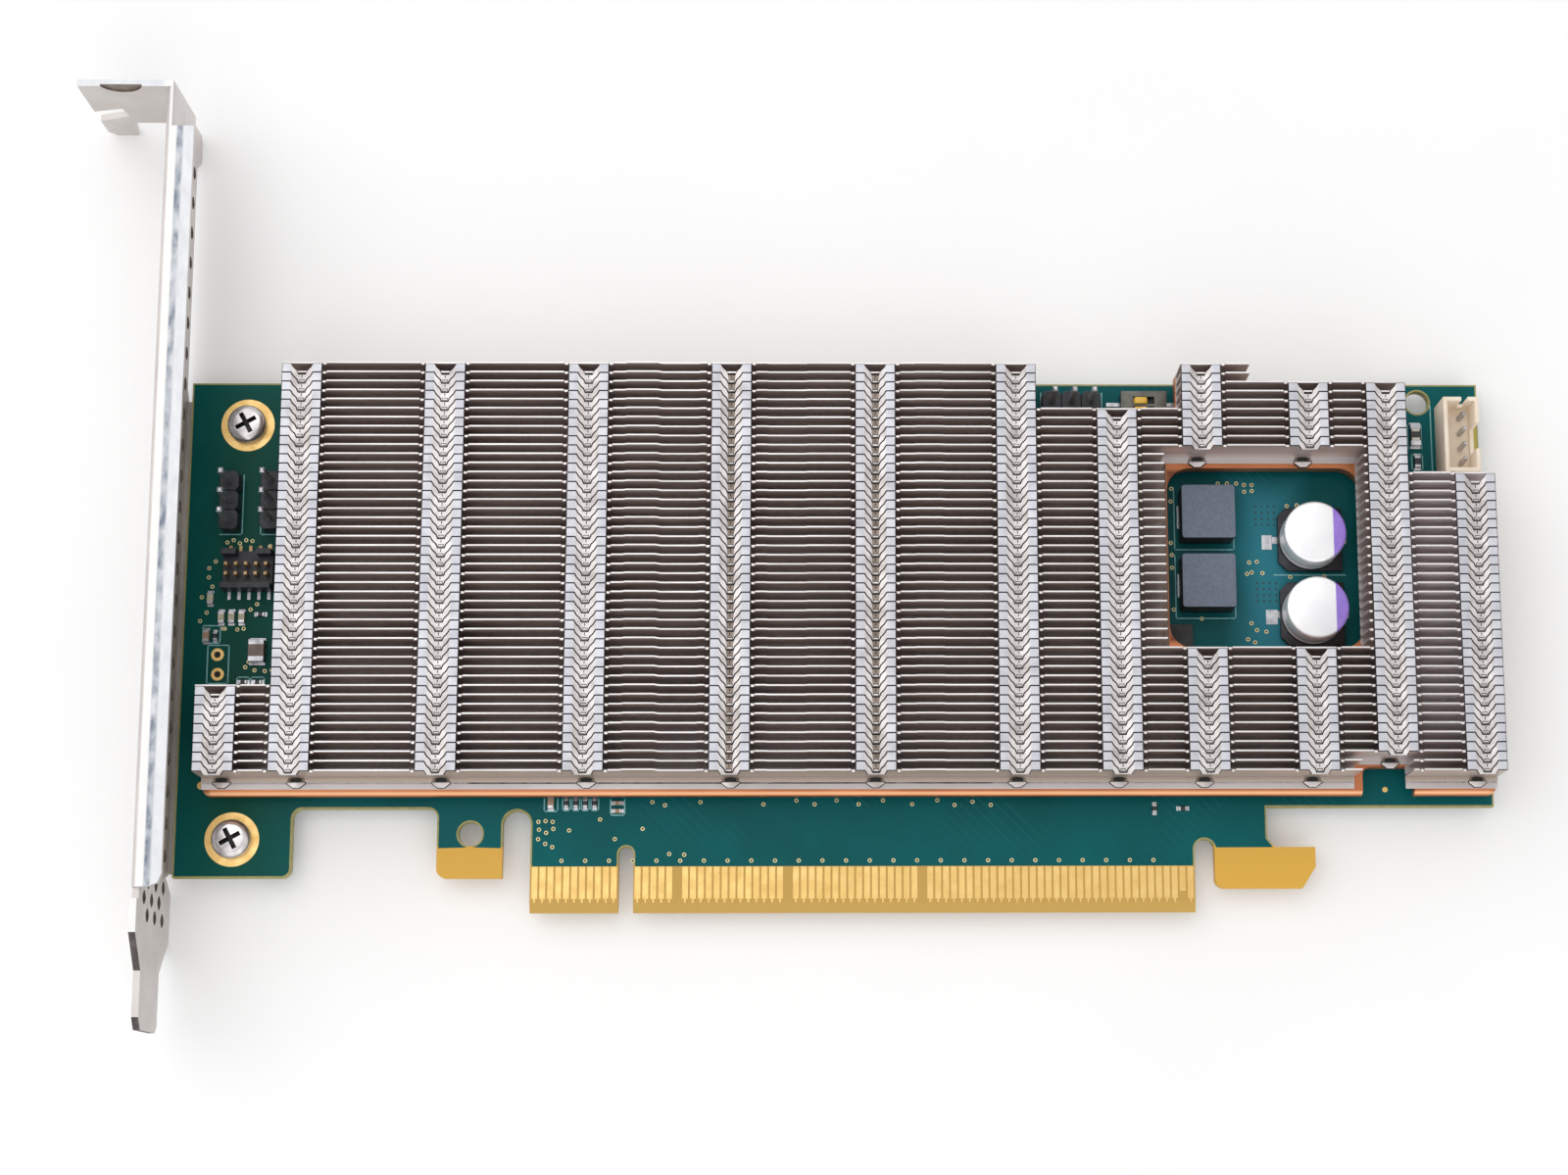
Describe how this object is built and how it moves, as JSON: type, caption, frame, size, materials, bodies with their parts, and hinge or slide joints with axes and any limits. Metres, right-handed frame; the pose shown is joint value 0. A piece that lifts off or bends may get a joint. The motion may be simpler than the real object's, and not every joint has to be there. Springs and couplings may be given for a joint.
{
  "type": "passive accelerator card",
  "caption": "Half-length edge-connector board in a full-height vented bracket, under a stack of interlocked folded fins on a copper plate, with pin headers, a switch and power parts.",
  "frame": {"origin": "centre of the key notch at the tips of the gold contacts, on the board's component face", "axes": "+X along the card away from the bracket, +Y from the contacts up across the card, +Z out of the component side; the card lies flat on its solder side"},
  "size_m": [0.1808, 0.12, 0.0184],
  "materials": {
    "board": "green solder mask",
    "gold": "bright gold plating",
    "bracket_steel": "satin zinc plating",
    "screw_steel": "bright nickel plating",
    "copper": "bare machined copper",
    "fin_nickel": "satin nickel plating",
    "chip_black": "moulded epoxy",
    "thermal_pad": "soft grey gap filler",
    "inductor_grey": "pressed iron powder",
    "solder": "bright tin",
    "can_aluminium": "satin with a purple mark",
    "header_black": "moulded nylon",
    "header_ivory": "ivory nylon",
    "slider_yellow": "pale yellow nylon",
    "ceramic_tan": "fired ceramic with tinned ends",
    "ceramic_dark": "dark glazed ceramic with tinned ends",
    "led_clear": "clear epoxy on a white base",
    "fuse_white": "white ceramic with tinned ends"
  },
  "bodies": {
    "card": {"circuit_board": "board", "contacts_component_side": "gold", "bracket": "bracket_steel", "bracket_screws": "screw_steel", "heatsink_base": "copper", "heatsink_screws": "screw_steel", "fins_rear": "fin_nickel", "fins_rear_corner": "fin_nickel", "fins_behind_window": "fin_nickel", "fins_beside_window": "fin_nickel", "fins_window_end": "fin_nickel", "fins_before_window": "fin_nickel", "fins_front": "fin_nickel", "accelerator_chips": "chip_black", "thermal_pads": "thermal_pad", "bridge_chip": "chip_black", "bridge_thermal_pad": "thermal_pad", "inductors": "inductor_grey", "inductor_terminals": "solder", "capacitor_cans": "can_aluminium", "capacitor_bases": "chip_black", "capacitor_leads": "solder", "regulator_chip": "chip_black", "left_header_bodies": "header_black", "top_header_body": "header_black", "header_pins": "gold", "debug_header_body": "header_black", "debug_header_pins": "gold", "fan_header_housing": "header_ivory", "fan_header_pins": "solder", "switch_body": "header_black", "switch_leads": "solder", "status_leds": "led_clear", "chip_capacitors": "ceramic_tan", "chip_resistors": "ceramic_dark", "fuse": "fuse_white", "large_chip_capacitor": "ceramic_tan"},
    "slider_1": {"switch_slider_1": "slider_yellow"},
    "slider_2": {"switch_slider_2": "slider_yellow"}
  },
  "joints": [
    {"name": "slider_1_slide", "type": "slide", "parent": "card", "child": "slider_1", "axis": [1, 0, 0], "range_m": [0, 0.00075]},
    {"name": "slider_2_slide", "type": "slide", "parent": "card", "child": "slider_2", "axis": [1, 0, 0], "range_m": [0, 0.00075]}
  ]
}
